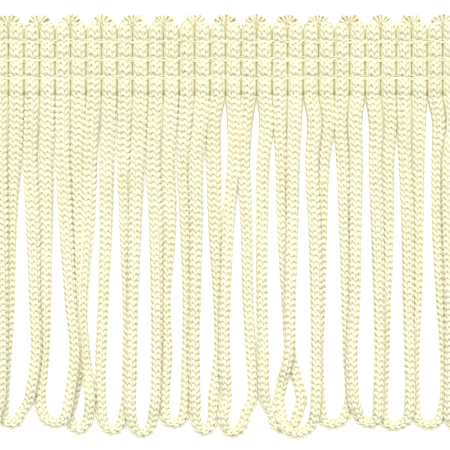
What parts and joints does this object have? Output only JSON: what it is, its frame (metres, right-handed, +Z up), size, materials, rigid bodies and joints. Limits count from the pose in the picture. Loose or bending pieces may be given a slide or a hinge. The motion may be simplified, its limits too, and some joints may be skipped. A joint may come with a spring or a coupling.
{
  "type": "loop fringe trim",
  "caption": "Cut length of cream loop fringe trim, lying flat: a bound, scalloped heading with long uneven loops of knitted cord hanging from it.",
  "frame": {"origin": "middle of the trim's footprint, on the surface it lies on", "axes": "+X along the trim's length, +Y from the loops' feet towards the heading's scallops, +Z up out of the trim's face"},
  "size_m": [0.0946, 0.0764, 0.003],
  "materials": {
    "cord": "soft sheen"
  },
  "bodies": {
    "root": {"heading": "cord", "loop_fringe": "cord"}
  },
  "joints": []
}
